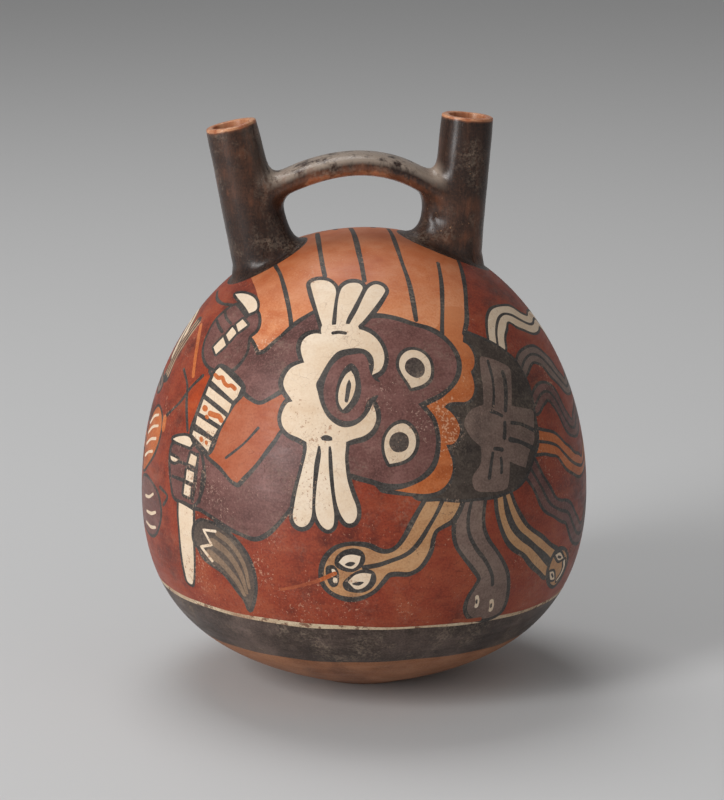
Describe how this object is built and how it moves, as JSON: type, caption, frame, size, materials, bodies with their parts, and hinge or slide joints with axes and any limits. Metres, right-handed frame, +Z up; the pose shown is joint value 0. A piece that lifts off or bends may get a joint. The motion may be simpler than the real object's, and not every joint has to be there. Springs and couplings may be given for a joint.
{
  "type": "double spout and bridge vessel",
  "caption": "Closed round clay bottle with a domed top, two hollow spouts that lean apart and an arched strap handle bridging them.",
  "frame": {"origin": "centre of the flat worn foot, on the surface that the vessel stands on", "axes": "+Z up along the body's axis, +X towards the more upright spout along the bridge, -Y towards the front of the painted figure"},
  "size_m": [0.14, 0.14, 0.1773],
  "materials": {
    "base_clay": "fired clay under a thin ochre slip, rubbed",
    "red_slip": "burnished red-brown slip with a painted figure",
    "orange_slip": "burnished orange slip with dark painted lines",
    "dark_slip": "burnished dark brown slip, scuffed",
    "worn_slip": "dark brown slip worn through to reddish clay"
  },
  "bodies": {
    "root": {"base_bowl": "base_clay", "belly_wall": "red_slip", "shoulder_dome": "orange_slip", "left_spout": "dark_slip", "right_spout": "dark_slip", "left_spout_luting": "worn_slip", "right_spout_luting": "worn_slip", "bridge_strap": "dark_slip", "left_bridge_luting": "worn_slip", "right_bridge_luting": "worn_slip"}
  },
  "joints": []
}
